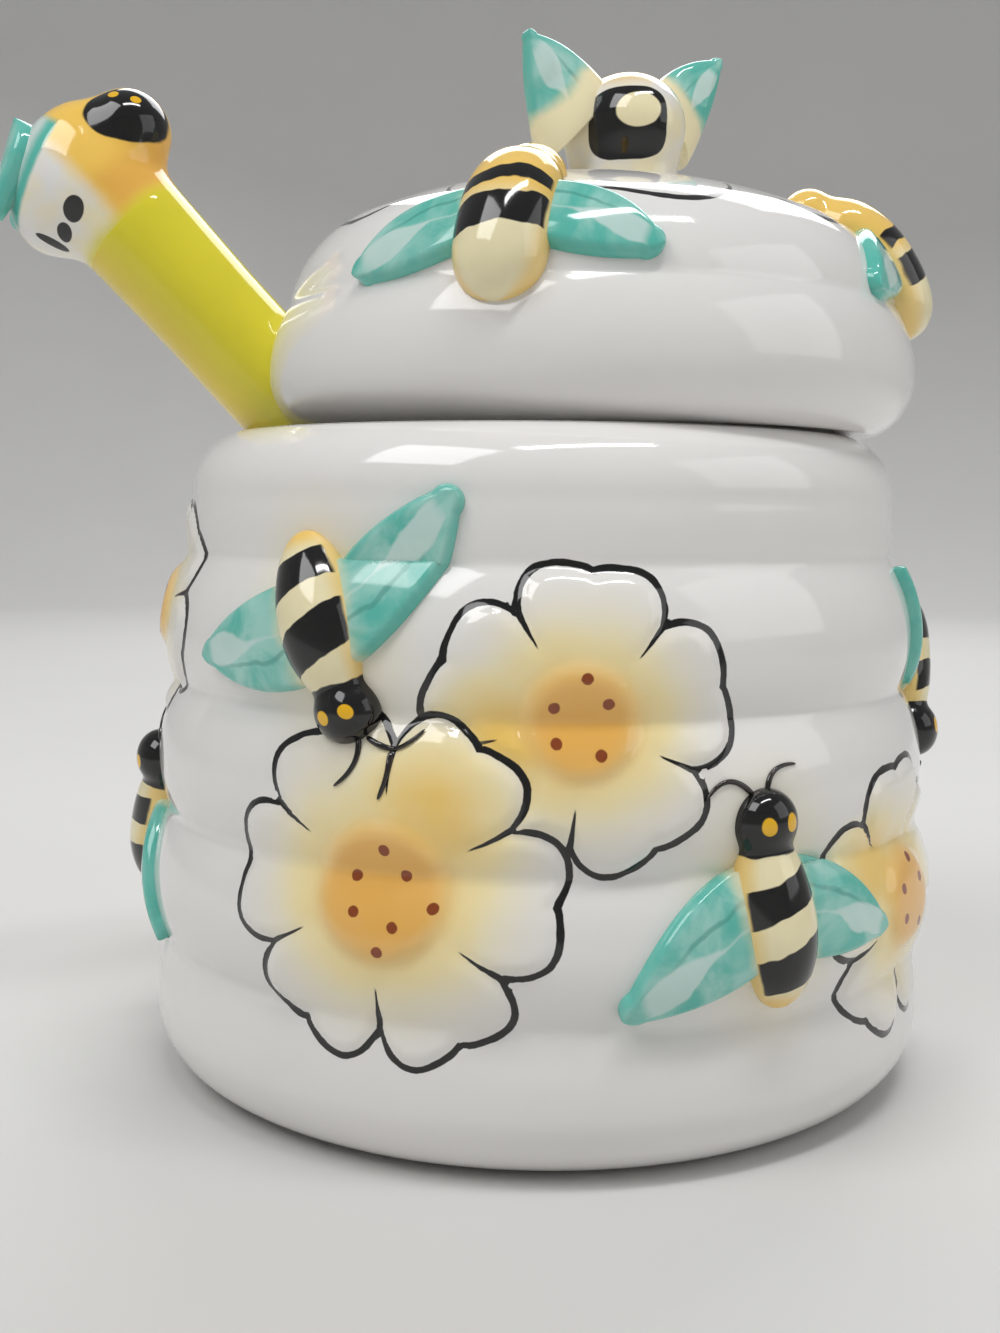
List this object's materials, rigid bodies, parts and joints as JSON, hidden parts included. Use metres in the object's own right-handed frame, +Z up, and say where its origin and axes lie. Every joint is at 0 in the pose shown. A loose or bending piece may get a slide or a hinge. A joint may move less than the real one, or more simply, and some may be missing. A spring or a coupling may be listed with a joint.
{
  "type": "honey pot",
  "caption": "Skep-shaped glazed ceramic honey pot with ribbed wall, loose domed lid, and a dipper that leans out beside the lid; sprigged with bees and flowers.",
  "frame": {"origin": "centre of the pot's foot, on the table", "axes": "+Z up; -Y towards the front, where the picture is taken from; the dipper leans towards -X"},
  "size_m": [0.1382, 0.1136, 0.1438],
  "materials": {
    "white_glaze": "gloss",
    "petal_glaze": "gloss",
    "centre_glaze": "gloss",
    "bee_glaze": "gloss",
    "wing_glaze": "gloss",
    "shaft_glaze": "gloss",
    "black_glaze": "gloss"
  },
  "bodies": {
    "pot": {"flower_1_centre": "centre_glaze", "flower_1_petals": "petal_glaze", "flower_2_centre": "centre_glaze", "flower_2_petals": "petal_glaze", "flower_3_centre": "centre_glaze", "flower_3_petals": "petal_glaze", "flower_4_centre": "centre_glaze", "flower_4_petals": "petal_glaze", "flower_5_centre": "centre_glaze", "flower_5_petals": "petal_glaze", "flower_6_centre": "centre_glaze", "flower_6_petals": "petal_glaze", "flower_7_centre": "centre_glaze", "flower_7_petals": "petal_glaze", "flower_8_centre": "centre_glaze", "flower_8_petals": "petal_glaze", "pot_bee_1_body": "bee_glaze", "pot_bee_1_wing_left": "wing_glaze", "pot_bee_1_wing_right": "wing_glaze", "pot_bee_2_body": "bee_glaze", "pot_bee_2_wing_left": "wing_glaze", "pot_bee_2_wing_right": "wing_glaze", "pot_bee_3_body": "bee_glaze", "pot_bee_3_wing_left": "wing_glaze", "pot_bee_3_wing_right": "wing_glaze", "pot_bee_4_body": "bee_glaze", "pot_bee_4_wing_left": "wing_glaze", "pot_bee_4_wing_right": "wing_glaze", "pot_bee_5_body": "bee_glaze", "pot_bee_5_wing_left": "wing_glaze", "pot_bee_5_wing_right": "wing_glaze", "pot_bee_6_body": "bee_glaze", "pot_bee_6_wing_left": "wing_glaze", "pot_bee_6_wing_right": "wing_glaze", "pot_shell": "white_glaze"},
    "lid": {"knob_body": "bee_glaze", "knob_wing_left": "wing_glaze", "knob_wing_right": "wing_glaze", "lid_bee_1_body": "bee_glaze", "lid_bee_1_wing_left": "wing_glaze", "lid_bee_1_wing_right": "wing_glaze", "lid_bee_2_body": "bee_glaze", "lid_bee_2_wing_left": "wing_glaze", "lid_bee_2_wing_right": "wing_glaze", "lid_bee_3_body": "bee_glaze", "lid_bee_3_wing_left": "wing_glaze", "lid_bee_3_wing_right": "wing_glaze", "lid_shell": "white_glaze"},
    "dipper": {"dipper_shaft": "shaft_glaze", "finial_body": "bee_glaze", "finial_head": "black_glaze", "finial_wing_back": "wing_glaze", "finial_wing_front": "wing_glaze"}
  },
  "joints": [
    {"name": "lid_lift", "type": "slide", "parent": "pot", "child": "lid", "axis": [0, 0, 1], "range_m": [0, 0.1]},
    {"name": "dipper_draw", "type": "slide", "parent": "pot", "child": "dipper", "axis": [-0.682, 0, 0.7314], "range_m": [0, 0.125]}
  ]
}
